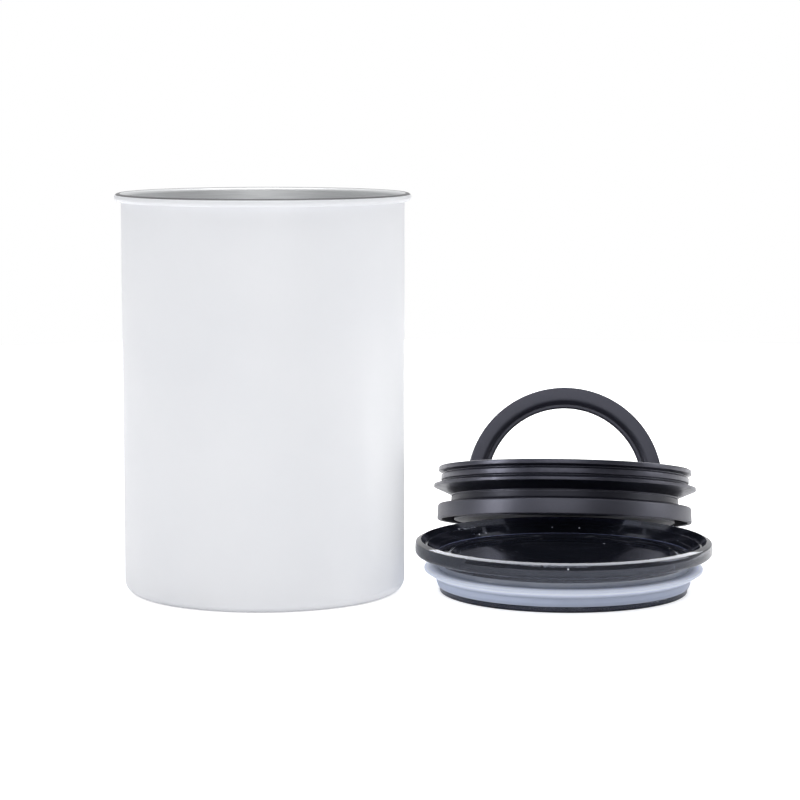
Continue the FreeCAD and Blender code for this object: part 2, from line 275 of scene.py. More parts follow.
def fresh(name):
    """A new material and its shader."""
    material = bpy.data.materials.new(name)
    material.use_nodes = True
    return material, material.node_tree, material.node_tree.nodes["Principled BSDF"]


def object_place(tree):
    """The Object coordinates."""
    return tree.nodes.new("ShaderNodeTexCoord").outputs["Object"]


def noise(tree, scale, detail, place=None):
    """Noise of that many cycles per metre."""
    pattern = tree.nodes.new("ShaderNodeTexNoise")
    pattern.inputs["Scale"].default_value = scale
    pattern.inputs["Detail"].default_value = detail
    tree.links.new(place or object_place(tree), pattern.inputs["Vector"])
    return pattern.outputs["Fac"]


def spread(tree, value, low, high, start=0.35, end=0.65):
    """A pattern's middle range stretched to run from low to high."""
    node = tree.nodes.new("ShaderNodeMapRange")
    node.inputs["From Min"].default_value = start
    node.inputs["From Max"].default_value = end
    node.inputs["To Min"].default_value = low
    node.inputs["To Max"].default_value = high
    tree.links.new(value, node.inputs["Value"])
    return node.outputs["Result"]


def tint(tree, share, first, second):
    """A colour that goes from the first to the second with a pattern."""
    node = tree.nodes.new("ShaderNodeMix")
    node.data_type = "RGBA"
    colours = [socket for socket in node.inputs if socket.type == "RGBA"]
    colours[0].default_value = (*first, 1)
    colours[1].default_value = (*second, 1)
    tree.links.new(share, node.inputs["Factor"])
    return [socket for socket in node.outputs if socket.type == "RGBA"][0]


def bump(tree, shader, height, depth):
    """Raise the surface by a pattern, by that depth in metres."""
    node = tree.nodes.new("ShaderNodeBump")
    node.inputs["Strength"].default_value = 1.0
    node.inputs["Distance"].default_value = depth
    tree.links.new(height, node.inputs["Height"])
    tree.links.new(node.outputs["Normal"], shader.inputs["Normal"])


def cloud_colour(tree, shader, scale, first, second, detail=3):
    """A base colour that drifts between two tones."""
    drift = spread(tree, noise(tree, scale, detail), low=0, high=1)
    tree.links.new(tint(tree, drift, first, second), shader.inputs["Base Color"])


def vary_roughness(tree, shader, scale, smooth, dull, detail=2):
    """A roughness that drifts between two values."""
    drift = spread(tree, noise(tree, scale, detail), low=smooth, high=dull)
    tree.links.new(drift, shader.inputs["Roughness"])


print("patterns ready")

# %% [markdown]
# ## White powder coat
# The can's outside is sprayed with dry powder and baked. It comes out an even, slightly
# cool white with a satin skin, and from close up that skin has the gentle waves that
# painters call orange peel: about a millimetre across and a few microns deep.

# %% White powder coat
powder_white, tree, shader = fresh("white_powder_coat")
cloud_colour(tree, shader, scale=18, first=(0.815, 0.825, 0.85), second=(0.79, 0.802, 0.83))
vary_roughness(tree, shader, scale=700, smooth=0.42, dull=0.55)
bump(tree, shader, noise(tree, scale=900, detail=1), depth=0.004 * mm)
print("made", powder_white.name)

# %% [markdown]
# ## Bare steel
# Inside, and on top of the rolled rim, the sheet is left bare. Drawing and polishing leave
# fine lines that run round the can, so the noise is read at the point's radius and height
# and hardly changes along the turn.

# %% Turning lines
along_share = 0.03


def reach_from(tree, spot):
    """The distance from the upright axis through a spot."""
    offset = tree.nodes.new("ShaderNodeVectorMath")
    offset.operation = "SUBTRACT"
    offset.inputs[1].default_value = spot
    tree.links.new(object_place(tree), offset.inputs[0])
    flat = tree.nodes.new("ShaderNodeVectorMath")
    flat.operation = "MULTIPLY"
    flat.inputs[1].default_value = (1, 1, 0)
    tree.links.new(offset.outputs["Vector"], flat.inputs[0])
    reach = tree.nodes.new("ShaderNodeVectorMath")
    reach.operation = "LENGTH"
    tree.links.new(flat.outputs["Vector"], reach.inputs[0])
    return reach.outputs["Value"]


def turning_lines(tree):
    """Noise in fine lines that run round the Z axis."""
    parts = tree.nodes.new("ShaderNodeSeparateXYZ")
    tree.links.new(object_place(tree), parts.inputs["Vector"])
    along = tree.nodes.new("ShaderNodeMath")
    along.operation = "MULTIPLY"
    along.inputs[1].default_value = along_share
    tree.links.new(parts.outputs["X"], along.inputs[0])
    place = tree.nodes.new("ShaderNodeCombineXYZ")
    tree.links.new(reach_from(tree, (0, 0, 0)), place.inputs["X"])
    tree.links.new(along.outputs["Value"], place.inputs["Y"])
    tree.links.new(parts.outputs["Z"], place.inputs["Z"])
    return noise(tree, scale=2600, detail=3, place=place.outputs["Vector"])


print("lines run round the can")

# %% [markdown]
# Two finishes come from these lines: the satin inside, and the top of the rim, which is
# ground bare after painting. The rim's copy of the steel gets a far darker colour, a painted
# dark reflection, so it shows as a darker ring.

# %% Bare steel


def steel(name, light, dark, smooth, dull):
    """A steel whose lines go between two colours and two roughnesses."""
    material, tree, shader = fresh(name)
    lines = turning_lines(tree)
    shade = spread(tree, lines, low=0, high=1)
    tree.links.new(tint(tree, shade, light, dark), shader.inputs["Base Color"])
    tree.links.new(spread(tree, lines, low=smooth, high=dull), shader.inputs["Roughness"])
    shader.inputs["Metallic"].default_value = 1.0
    shader.inputs["Anisotropic"].default_value = 0.35
    bump(tree, shader, lines, depth=0.0008 * mm)
    print("made", material.name)
    return material


bare_steel = steel("bare_steel", light=(0.86, 0.87, 0.88), dark=(0.80, 0.81, 0.82), smooth=0.48, dull=0.60)
# A dark copy of the same steel: its low colour paints a dark reflection on top of the rim.
dark_reflection_steel = steel("dark_reflection_steel", light=(0.19, 0.19, 0.20), dark=(0.15, 0.15, 0.16), smooth=0.30, dull=0.40)

# %% [markdown]
# ## The can
# The shell is one drawn sheet: a foot flange turned in under a rounded corner, a straight
# wall, and a rim curled outwards into a bead. The frame gives its height and the bead's
# width. The wall's outline is built as a thin closed strip, so the curl is a real curl.

# %% Can sizes
can_low, can_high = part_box("can_shell")
rim_radius = (can_high.x - can_low.x) / 2 / mm
can_height = can_high.z / mm
sheet = 0.6
curl_radius = 1.75
curl_turn = math.radians(300)
base_corner = 5.2
foot_width = 5.5
bore_radius = rim_radius - 2 * curl_radius
can_radius = bore_radius + sheet
foot_radius = can_radius - base_corner
curl_centre = Vector((bore_radius + curl_radius, can_height - curl_radius))
print("can", round(2 * can_radius, 2), "mm wide and", round(can_height, 1), "mm tall")

# %% [markdown]
# The curl and the two sides of the base corner are plain arcs, so one small helper gives
# the points of an arc, and the outline is put together from them.

# %% Can shell


def arc(centre, radius, start, sweep, steps):
    """Points on an arc, in metres, from a centre and radius in millimetres."""
    turns = [start + sweep * step / steps for step in range(steps + 1)]
    return [(centre + Vector((math.cos(turn), math.sin(turn))) * radius) * mm for turn in turns]


corner_centre = Vector((foot_radius, base_corner))
quarter = math.pi / 2
shell_outline = [Vector((foot_radius - foot_width, sheet)) * mm]
shell_outline += arc(corner_centre, base_corner - sheet, -quarter, quarter, steps=10)
shell_outline += arc(curl_centre, curl_radius, math.pi, -curl_turn, steps=30)
shell_outline += arc(curl_centre, curl_radius - sheet, math.pi - curl_turn, curl_turn, steps=24)
shell_outline += arc(corner_centre, base_corner, 0, -quarter, steps=12)
shell_outline += [Vector((foot_radius - foot_width, 0)) * mm]
can = turned("can", shell_outline, steps=smooth_steps)
print("outline of", len(shell_outline), "points")

# %% [markdown]
# Paint covers the outside and stops on the bead. The ground ring on top of the bead and the
# inside of the can are picked by the place of each face and given their own finishes.

# %% Can finishes
paint_edge = math.radians(40)
ground_edge = math.radians(115)
painted, inside, ground = range(3)


def finish_of(centre):
    """Which finish a face of the shell has, from its middle."""
    spot = Vector((math.hypot(centre.x, centre.y), centre.z)) / mm
    from_curl = spot - curl_centre
    if spot.y > curl_centre.y:
        turn = math.atan2(from_curl.y, from_curl.x)
        if turn < paint_edge or from_curl.length < curl_radius - sheet / 2:
            return painted
        return ground if turn < ground_edge else inside
    if spot.y > base_corner:
        return inside if spot.x < bore_radius + sheet / 4 else painted
    if spot.x > foot_radius:
        return inside if (spot - corner_centre).length < base_corner - sheet / 2 else painted
    return inside if spot.y > sheet / 2 else painted


dress(can, "canister", "white_paint", ["can_shell"], powder_white, bare_steel, dark_reflection_steel)
for face in can.data.polygons:
    face.material_index = finish_of(face.center)
print("bare faces", sum(face.material_index != painted for face in can.data.polygons))

# %% [markdown]
# ## The base plate
# A pressed disc closes the can from inside. Its middle is raised, so the can stands on a
# ring and not on the disc.

# %% Base plate
base_lap = 4.0
base_raise = 2.6
base_bend = 1.0
lap_radius = foot_radius - sheet
slope_radius = lap_radius - base_lap
dish_radius = slope_radius - base_raise
base = turned("can_base", rounded([
    (0, base_raise),
    (dish_radius, base_raise, base_bend),
    (slope_radius, sheet, base_bend),
    (lap_radius, sheet),
    (lap_radius, 2 * sheet, sheet / 3),
    (slope_radius, 2 * sheet, base_bend),
    (dish_radius, base_raise + sheet, base_bend),
    (0, base_raise + sheet),
]))
dress(base, "canister", "steel", ["base_plate"], bare_steel)

# %% [markdown]
# ## Smoked clear plastic
# The outer lid is moulded in a dark, see-through plastic. Light loses most of its strength
# in a few millimetres, so the lid looks black where it is thick and grey at thin edges.
# That is what absorption in the volume does. A few specks of dust lie on it: there the
# surface is pale and dull, and lets no light through.

# %% Smoked plastic
core_share = 0.6
cut_width = 0.01
clear_grey = (0.5, 0.56, 0.85)
dust_grey = (0.75, 0.76, 0.8)


def specks(tree, scale, share, size):
    """A mask that is 1 on a few small round specks: a share of the cells of that scale hold one."""
    cells = tree.nodes.new("ShaderNodeTexVoronoi")
    cells.inputs["Scale"].default_value = scale
    tree.links.new(object_place(tree), cells.inputs["Vector"])
    near = spread(tree, cells.outputs["Distance"], low=1, high=0, start=size * core_share, end=size)
    split = tree.nodes.new("ShaderNodeSeparateColor")
    tree.links.new(cells.outputs["Color"], split.inputs["Color"])
    cut = 1 - share
    chosen = spread(tree, split.outputs["Red"], low=0, high=1, start=cut, end=cut + cut_width)
    both = tree.nodes.new("ShaderNodeMath")
    both.operation = "MULTIPLY"
    tree.links.new(near, both.inputs[0])
    tree.links.new(chosen, both.inputs[1])
    return both.outputs["Value"]


smoked, tree, shader = fresh("smoked_plastic")
dust = specks(tree, scale=330, share=0.08, size=0.13)
tree.links.new(tint(tree, dust, clear_grey, dust_grey), shader.inputs["Base Color"])
see_through = spread(tree, dust, low=0.989, high=0, start=0, end=1)
tree.links.new(see_through, shader.inputs["Transmission Weight"])
vary_roughness(tree, shader, scale=60, smooth=0.03, dull=0.07)
shader.inputs["IOR"].default_value = 1.68
shader.inputs["Specular Tint"].default_value = (0.78, 0.83, 1.0, 1)
smoke = tree.nodes.new("ShaderNodeVolumeAbsorption")
smoke.inputs["Color"].default_value = (0.30, 0.29, 0.36, 1)
smoke.inputs["Density"].default_value = 1600
tree.links.new(smoke.outputs["Volume"], tree.nodes["Material Output"].inputs["Volume"])
print("made", smoked.name)

# %% [markdown]
# Low on the lid's shoulder the plastic is lit from below through the pale gasket, and shows as
# a lighter grey band. That light is painted: the band has a finish of its own, the same gloss
# over a lighter cool grey colour.

# %% Pale band of painted light
painted_glow_smoked, tree, shader = fresh("pale_smoked_plastic")
low_grey = (0.26, 0.285, 0.345)
high_grey = (0.29, 0.315, 0.38)
cloud_colour(tree, shader, scale=120, first=low_grey, second=high_grey, detail=2)
vary_roughness(tree, shader, scale=60, smooth=0.05, dull=0.1)
shader.inputs["IOR"].default_value = 1.58
print("made", painted_glow_smoked.name)

# %% [markdown]
# ## The outer lid
# It is one moulding: a plug with a groove for its gasket, a flange that sits on the can's
# rim, and a dished top with a ledge, a channel and a sunk panel. The frame holds it as a
# ring and a panel; here both are one skin. Its centre, width and height come from the frame.

# %% Outer lid sizes
lid_low, lid_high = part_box("outer_lid")
outer_lid_place = Matrix.Translation(((lid_low.x + lid_high.x) / 2, (lid_low.y + lid_high.y) / 2, 0))
flange_radius = (lid_high.x - lid_low.x) / 2 / mm
lid_height = lid_high.z / mm
plug_depth = 15.8
plug_gap = 6.3
groove_depth = 1.4
plug_wall = 2.0
shoulder_step = 1.0
shoulder_height = 5.4
bead_height = 2.6
plug_radius = bore_radius - plug_gap
groove_radius = plug_radius - groove_depth
plug_inner = groove_radius - plug_wall
shoulder_radius = plug_radius + shoulder_step
groove_top = plug_depth - shoulder_height
print("outer lid", round(2 * flange_radius, 1), "mm wide and", round(lid_height, 1), "mm tall")

# %% [markdown]
# The dish inside the rim has a land, a ledge with a fine step, a channel and the panel. Each
# of its corners is listed as how far in from the flange and how far down from the crest it
# lies, and how much it is rounded: every one of these edges shows as a thin line of light.
# The last corner is the panel's edge, and the fourth from the end is the channel's inner one.

# %% Outer lid dish
dish_corners = [
    (2.65, 0.0, 0.2),
    (4.25, 2.35, 0.2),
    (4.6, 2.4, 0.1),
    (4.65, 2.55, 0.08),
    (5.4, 2.6, 0.15),
    (7.8, 4.9, 0.15),
    (8.2, 5.0, 0.15),
    (9.4, 6.25, 0.2),
    (9.9, 6.4, 0.3),
    (14.4, 6.4, 0.5),
    (15.2, 5.9, 0.5),
    (16.2, 5.9, 0.8),
    (17.6, 6.9, 1.2),
]
crest_corners = [
    (0.0, 2.8, 3.0),
    (0.3, 0.85, 0.8),
]


def from_crest(corners):
    """Corners on the lid's section from how far in, how far down and how round they are."""
    return [(flange_radius - inward, lid_height - down, bend) for inward, down, bend in corners]


crest = from_crest(crest_corners)
dish = from_crest(dish_corners)
channel_inner, channel_level = dish[-4][:2]
panel_radius, panel_level = dish[-1][:2]
print("panel", round(2 * panel_radius, 1), "mm wide, at", round(panel_level, 1), "mm")

# %% [markdown]
# The outline runs out under the panel, down the plug's inside and up its outside, over the
# flange and down through the dish to the axis.

# %% Outer lid
wall = 2.0
edge_round = 0.6
fine_round = 0.2
flange_round = 2.0
glow_band_height = 2.3
glow_band_top = groove_top + glow_band_height
outer_lid = turned("smoked_outer_lid", rounded([
    (0, panel_level - wall),
    (panel_radius - wall / 2, panel_level - wall, wall),
    (channel_inner - wall / 2, channel_level - wall, wall),
    (plug_inner, channel_level - wall, edge_round),
    (plug_inner, 0, edge_round),
    (plug_radius, 0, edge_round),
    (plug_radius, bead_height, edge_round),
    (groove_radius, bead_height, fine_round),
    (groove_radius, groove_top, fine_round),
    (shoulder_radius, groove_top, fine_round),
    (shoulder_radius, glow_band_top),
    (shoulder_radius, plug_depth, edge_round),
    (flange_radius, plug_depth, flange_round),
    *crest,
    *dish,
    (0, panel_level),
]), steps=smooth_steps)
put(outer_lid, outer_lid_place)
dress(outer_lid, "outer_lid", "smoked_plastic", ["outer_lid", "outer_lid_panel"], smoked, painted_glow_smoked)
axis_spot = outer_lid_place.translation
# Faces low on the shoulder take the lighter grey, which paints the light from the gasket below.
for face in outer_lid.data.polygons:
    reach = math.hypot(face.center.x - axis_spot.x, face.center.y - axis_spot.y) / mm
    on_shoulder = abs(reach - shoulder_radius) < fine_round
    face.material_index = int(on_shoulder and groove_top < face.center.z / mm < glow_band_top)

# %% [markdown]
# ## Clear silicone
# The outer lid's gasket is moulded in milky silicone. Its skin is dull, and light that enters
# it scatters and comes out again nearby. The band in the groove backs on dark plastic and
# looks grey, while the thin lip lets light through at its edge. The colour is painted light and
# shade along the distance from the axis: paler towards the lip, for the light from both sides
# that passes through it, and darker again at its edge, which faces the front lamp. A faint
# painted glow, which stands for the light from behind, follows the same distance.

# %% Clear silicone
lip_overlap = 0.3
lip_offset = 2.0
band_glow = 0.06
lip_glow = 0.36
# Colours on the way out to the lip: painted light, paler towards the lip, and painted shade at its edge.
painted_light_stops = [
    (0.0, (0.36, 0.405, 0.515, 1)),
    (0.7, (0.70, 0.745, 0.85, 1)),
    (1.0, (0.42, 0.45, 0.51, 1)),
]
lip_radius = bore_radius + lip_overlap
lip_start = plug_radius + lip_offset
milky_silicone, tree, shader = fresh("milky_silicone")
reach = reach_from(tree, outer_lid_place.translation)
to_lip = spread(tree, reach, low=0, high=1, start=lip_start * mm, end=lip_radius * mm)
ramp = tree.nodes.new("ShaderNodeValToRGB")
ramp.color_ramp.elements.new(painted_light_stops[1][0])
for element, (place, colour) in zip(ramp.color_ramp.elements, painted_light_stops):
    element.position = place
    element.color = colour
tree.links.new(to_lip, ramp.inputs["Fac"])
tree.links.new(ramp.outputs["Color"], shader.inputs["Base Color"])
vary_roughness(tree, shader, scale=500, smooth=0.34, dull=0.46)
# The emission is a painted glow that stands for the light from behind the lip.
lip_light = spread(tree, to_lip, low=band_glow, high=lip_glow, start=0, end=1)
tree.links.new(lip_light, shader.inputs["Emission Strength"])
shader.inputs["Emission Color"].default_value = (0.82, 0.87, 1.0, 1)
see_through = spread(tree, to_lip, low=0.15, high=0.6, start=painted_light_stops[1][0], end=1)
tree.links.new(see_through, shader.inputs["Transmission Weight"])
shader.inputs["IOR"].default_value = 1.41
shader.inputs["Subsurface Weight"].default_value = 0.4
shader.inputs["Subsurface Radius"].default_value = (1.0, 1.1, 1.3)
shader.inputs["Subsurface Scale"].default_value = 2 * mm
bump(tree, shader, noise(tree, scale=1500, detail=1), depth=0.003 * mm)
print("made", milky_silicone.name)

# %% [markdown]
# ## The outer lid's gasket
# A band in the plug's groove with one lip, level with the groove's top, that bends as the lid
# is pushed in. Below the lip the band is undercut and looks down at the bright table, so it
# shows as a pale stripe over a greyer one. The paler colour there is painted light as well.

# %% Outer lid gasket
fit_gap = 0.05
band_step = 1.3
band_lower_step = 0.6
band_low_share = 0.20
undercut_share = 0.44
lip_low_share = 0.88
lip_round = 0.3
band_radius = plug_radius + band_step
band_foot = plug_radius + band_lower_step
groove_height = groove_top - bead_height
band_low = bead_height + band_low_share * groove_height
undercut_low = bead_height + undercut_share * groove_height
lip_low = bead_height + lip_low_share * groove_height
gasket = turned("outer_lid_seal", rounded([
    (groove_radius + fit_gap, bead_height),
    (band_foot, bead_height, fine_round),
    (band_radius, band_low, edge_round),
    (band_radius, undercut_low, edge_round),
    (lip_radius, lip_low, lip_round),
    (lip_radius, groove_top, lip_round),
    (groove_radius + fit_gap, groove_top),
]), steps=smooth_steps)
put(gasket, outer_lid_place)
dress(gasket, "outer_lid", "clear_silicone", ["outer_lid_gasket"], milky_silicone)

# %% [markdown]
# ## Where the inner lid leans
# The inner lid's pieces are modelled flat, on their own axis, and then leaned together. The
# handle's hinge in the frame gives one point of the lid and the way its X axis points, and
# the lean gives its own axis.

# %% Inner lid's place
lean_angle = math.radians(12.5)
lean_turn = math.radians(-5.5)
pivot_level = 17.3
hinge = next(joint for joint in frame["joints"] if joint["name"] == "handle_fold")
lid_x = -Vector(hinge["axis"]).normalized()
lid_z = Matrix.Rotation(lean_turn, 3, "Z") @ Matrix.Rotation(-lean_angle, 3, "X") @ Vector((0, 0, 1))
lid_y = lid_z.cross(lid_x).normalized()
lid_turn = Matrix((lid_x, lid_y, lid_z)).transposed().to_4x4()
to_underside = Matrix.Translation((0, 0, -pivot_level * mm))
inner_lid_place = Matrix.Translation(hinge["pos_m"]) @ lid_turn @ to_underside
print("inner lid's underside centre", [round(v / mm, 1) for v in inner_lid_place.translation])

# %% [markdown]
# ## Black plastic
# The inner lid and its handle are moulded in black plastic. The mould is spark-textured, so
# the skin is matte with a very fine grain, and it turns grey where it faces a soft light. The
# narrow neck under the gasket lies in shade, and that shade is painted: it gets a shaded copy
# of the same finish with a weaker gloss.

# %% Black plastic
light_black = (0.0055, 0.0058, 0.0100)
deep_black = (0.0035, 0.0038, 0.0075)
grain_depth = 0.002 * mm


def black_moulding(name, gloss):
    """Textured black plastic with a given strength of gloss."""
    material, tree, shader = fresh(name)
    cloud_colour(tree, shader, scale=45, first=deep_black, second=light_black)
    vary_roughness(tree, shader, scale=1600, smooth=0.38, dull=0.46)
    shader.inputs["Specular IOR Level"].default_value = gloss
    shader.inputs["Specular Tint"].default_value = (0.82, 0.83, 1.0, 1)
    bump(tree, shader, noise(tree, scale=3500, detail=2), depth=grain_depth)
    print("made", material.name)
    return material


black_plastic = black_moulding("black_plastic", gloss=0.9)
# A shaded copy: its weaker gloss paints the shade on the neck under the fins.
shaded_neck_plastic = black_moulding("shaded_neck_plastic", gloss=0.35)

# %% [markdown]
# ## The inner lid's base
# The lower moulding has a guide ring that keeps the lid square in the can, a neck, a hub
# for the gasket and the deck, and a floor. A narrow groove parts the neck from the gasket.
# Under the ring it is cored out, so that its walls stay even.

# %% Inner lid base
ring_gap = 0.2
ring_height = 7.4
ring_wall = 2.0
ring_draft = 0.3
neck_step = 6.4
neck_height = 3.4
neck_fillet = 1.5
parting_height = 0.5
parting_depth = 0.7
hub_step = 1.6
hub_wall = 1.8
core_round = 0.5
ring_inner_round = 0.4
ring_lower_round = 0.6
ring_top_round = 1.0
parting_round = 0.1
crisp_round = 0.15
deck_flange_thickness = 1.5
ring_radius = bore_radius - ring_gap
ring_bore = ring_radius - ring_wall
web_level = ring_height - ring_wall
neck_radius = ring_radius - neck_step
neck_level = ring_height + neck_height
seat_level = neck_level + parting_height
hub_radius = neck_radius - hub_step
hub_bore = hub_radius - hub_wall
gasket_height = 13.7
lid_top = seat_level + gasket_height
hub_top = lid_top - deck_flange_thickness
floor_level = 2.2
lid_base = turned("inner_lid_body", rounded([
    (0, 0),
    (hub_radius, 0, core_round),
    (hub_radius, web_level, core_round),
    (ring_bore, web_level, core_round),
    (ring_bore, 0, ring_inner_round),
    (ring_radius, 0, ring_lower_round),
    (ring_radius - ring_draft, ring_height, ring_top_round),
    (neck_radius, ring_height, neck_fillet),
    (neck_radius, neck_level, crisp_round),
    (neck_radius - parting_depth, neck_level, parting_round),
    (neck_radius - parting_depth, seat_level, parting_round),
    (hub_radius, seat_level),
    (hub_radius, hub_top),
    (hub_bore, hub_top),
    (hub_bore, floor_level, core_round),
    (0, floor_level),
]), steps=smooth_steps)
print("inner lid", round(2 * ring_radius, 1), "mm wide and", round(lid_top, 1), "mm tall")

# %% [markdown]
# Air leaves through six small holes in the floor, below the valve. Six drills stand in a
# circle, are joined into one tool and cut through together.

# %% Vent holes
deck_wall = 1.8
handle_side_gap = 1.9
handle_width = 9.8
handle_radius = hub_bore - fit_gap - deck_wall - handle_side_gap
handle_bore = handle_radius - handle_width
valve_reach = (handle_radius + handle_bore) / 2
vent_circle = 1.5
vent_hole_radius = 0.6
vent_holes = 6
overrun = 1.0
drills = []
for hole in range(vent_holes):
    turn = 2 * math.pi * hole / vent_holes
    x = vent_circle * math.cos(turn)
    y = valve_reach + vent_circle * math.sin(turn)
    drills.append(rod("drill", vent_hole_radius, at(x, y, -overrun), at(x, y, floor_level + overrun)))
combine(lid_base, merged(drills), "DIFFERENCE")
# The neck's faces take the shaded copy, which is painted shade.
for face in lid_base.data.polygons:
    reach = math.hypot(face.center.x, face.center.y) / mm
    round_neck = neck_radius - fine_round < reach < neck_radius + neck_fillet
    face.material_index = int(round_neck and ring_height < face.center.z / mm < neck_level)
put(lid_base, inner_lid_place)
dress(lid_base, "inner_lid", "black_plastic", ["inner_lid_base"], black_plastic, shaded_neck_plastic)

# %% [markdown]
# ## Black silicone
# The wiper gasket, the valve's seat and its stopper are black silicone. It is smoother than
# the plastic beside it, so long soft lights run along the fins, and it draws dust.

# %% Black silicone
black_silicone, tree, shader = fresh("black_silicone")
silicone_black = (0.0032, 0.0035, 0.0070)
silicone_dust = (0.3, 0.3, 0.32)
dust = specks(tree, scale=260, share=0.03, size=0.045)
tree.links.new(tint(tree, dust, silicone_black, silicone_dust), shader.inputs["Base Color"])
vary_roughness(tree, shader, scale=350, smooth=0.28, dull=0.38, detail=3)
shader.inputs["Specular IOR Level"].default_value = 0.8
shader.inputs["Specular Tint"].default_value = (0.80, 0.81, 1.0, 1)
bump(tree, shader, noise(tree, scale=1200, detail=2), depth=0.004 * mm)
print("made", black_silicone.name)

# %% [markdown]
# ## The wiper gasket
# A sleeve round the hub with three fins. The lowest is thin and wider than the can, so it
# wipes the wall as the lid slides; the two above it back it up. Each corner of the fins is
# listed with its radius, its height as a share of the gasket's, and its round.

# %% Wiper gasket
wiper_overlap = 1.6
fin_root_step = 3.4
middle_fin_step = 4.9
top_fin_step = 6.1
deck_flange_overlap = 2.5
wiper_radius = bore_radius + wiper_overlap
root_radius = neck_radius + fin_root_step
middle_radius = neck_radius + middle_fin_step
top_radius = neck_radius + top_fin_step
deck_flange = hub_radius + deck_flange_overlap
fin_corners = [
    (neck_radius, 0.03, 0.1),
    (wiper_radius, 0.29, 0.15),
    (wiper_radius, 0.385, 0.15),
    (root_radius, 0.49, 0.3),
    (middle_radius, 0.53, 0.3),
    (middle_radius, 0.70, 0.4),
    (root_radius, 0.76, 0.3),
    (top_radius, 0.835, 0.3),
    (top_radius, 0.985, 0.5),
]
wiper = turned("wiper_seal", rounded([
    (hub_radius + fit_gap, seat_level),
    (neck_radius, seat_level, crisp_round),
    *[(radius, seat_level + share * gasket_height, bend) for radius, share, bend in fin_corners],
    (deck_flange + fit_gap, lid_top, fine_round),
    (deck_flange + fit_gap, hub_top),
    (hub_radius + fit_gap, hub_top),
]), steps=smooth_steps)
put(wiper, inner_lid_place)
dress(wiper, "inner_lid", "black_silicone", ["wiper_gasket"], black_silicone)

# %% [markdown]
# ## The deck
# A cup snapped into the hub holds the handle. Its flange covers the gasket's top, two ears
# carry the handle's pins, and a tube runs down from the deck to the vent holes.

# %% Deck
deck_radius = hub_bore - fit_gap
deck_bore = deck_radius - deck_wall
deck_depth = 11.3
deck_thickness = 2.0
deck_edge_round = 0.4
deck_fillet = 1.0
deck_top = lid_top - deck_depth
deck_low = deck_top - deck_thickness
deck = turned("inner_lid_cup", rounded([
    (0, deck_low),
    (deck_radius, deck_low, deck_edge_round),
    (deck_radius, hub_top),
    (deck_flange, hub_top),
    (deck_flange, lid_top, deck_edge_round),
    (deck_bore, lid_top, deck_edge_round),
    (deck_bore, deck_top, deck_fillet),
    (0, deck_top),
]), steps=smooth_steps)
print("deck recess", round(lid_top - deck_top, 1), "mm deep")

# %% [markdown]
# The ears are short lugs on the wall with a web down to the deck. The pin holes, the seat's
# pocket and the vent are then drilled.

# %% Ears and holes
ear_radius = 3.6
ear_gap = 0.4
ear_face = handle_radius + ear_gap
ear_back = deck_bore + deck_wall / 2
pin_radius = 1.6
pin_gap = 0.08
pin_hole_end = deck_radius + overrun
seat_radius = 5.45
seat_height = 4.4
tube_wall = 2.0
vent_radius = 2.4
sink = 0.5
lugs = []
drills = []
for side in (-1, 1):
    face = at(side * ear_face, 0, pivot_level)
    lugs.append(rod("ear", ear_radius, face, at(side * ear_back, 0, pivot_level)))
    web_low = deck_top - sink
    bpy.ops.mesh.primitive_cube_add(size=mm)
    web = bpy.context.active_object
    size = Matrix.Diagonal((ear_back - ear_face, 2 * ear_radius, pivot_level - web_low, 1))
    middle = at(side * (ear_face + ear_back) / 2, 0, (pivot_level + web_low) / 2)
    put(web, Matrix.Translation(middle) @ size)
    combine(lugs[-1], web, "UNION")
    hole_start = at(side * (ear_face - overrun), 0, pivot_level)
    drills.append(rod("drill", pin_radius + pin_gap, hole_start, at(side * pin_hole_end, 0, pivot_level)))


def along_vent(name, radius, low, high):
    """A rod on the vent's axis between two heights."""
    return rod(name, radius, at(0, valve_reach, low), at(0, valve_reach, high))


lugs.append(along_vent("tube", seat_radius + tube_wall, floor_level, deck_top - sink))
combine(deck, merged(lugs), "UNION")
drills.append(along_vent("drill", seat_radius + fit_gap, deck_top - seat_height, deck_top + overrun))
combine(deck, merged(drills), "DIFFERENCE")
combine(deck, along_vent("drill", vent_radius, floor_level - overrun, deck_top), "DIFFERENCE")
put(deck, inner_lid_place)
dress(deck, "inner_lid", "black_plastic", ["inner_lid_deck"], black_plastic)

# %% [markdown]
# ## The valve
# A silicone ring sits in the tube's mouth. When the handle is folded down, the stopper in
# its crown drops into the ring and shuts the air in.

# %% Valve seat and stopper
valve_gap = 0.35
nose_root = 3.2
nose_tip = 2.5
nose_length = 3.4
nose_round = 0.8
fold_gap = 0.6
nose_depth = nose_length - fold_gap + valve_gap
handle_half = 3.0
stopper_radius = 3.8
stopper_depth = 1.8
seat = turned("valve_ring", rounded([
    (vent_radius, deck_top - seat_height),
    (seat_radius, deck_top - seat_height),
    (seat_radius, deck_top, lip_round),
    (nose_root + valve_gap, deck_top, deck_edge_round),
    (nose_tip + valve_gap, deck_top - nose_depth, fine_round),
    (vent_radius, deck_top - nose_depth, parting_round),
]), steps=small_steps)
put(seat, inner_lid_place @ Matrix.Translation(at(0, valve_reach, 0)))
dress(seat, "inner_lid", "black_silicone", ["valve_seat"], black_silicone)
stopper = turned("valve_plug", rounded([
    (0, -stopper_depth),
    (stopper_radius, -stopper_depth),
    (stopper_radius, 0, fine_round),
    (nose_root, 0, fine_round),
    (nose_tip, nose_length, nose_round),
    (0, nose_length),
]), steps=small_steps)
facing_back = Matrix.Rotation(-math.pi / 2, 4, "X")
crown_back = Matrix.Translation(at(0, handle_half, pivot_level + valve_reach))
put(stopper, inner_lid_place @ crown_back @ facing_back)
dress(stopper, "handle", "black_silicone", ["valve_stopper"], black_silicone)

# %% [markdown]
# ## The handle's frame
# The handle is half a ring that stands on two hubs. It is spun through half a turn lying on
# its back, then stood up. The hubs are rods along the hinge, and the pocket behind the crown
# holds the stopper.

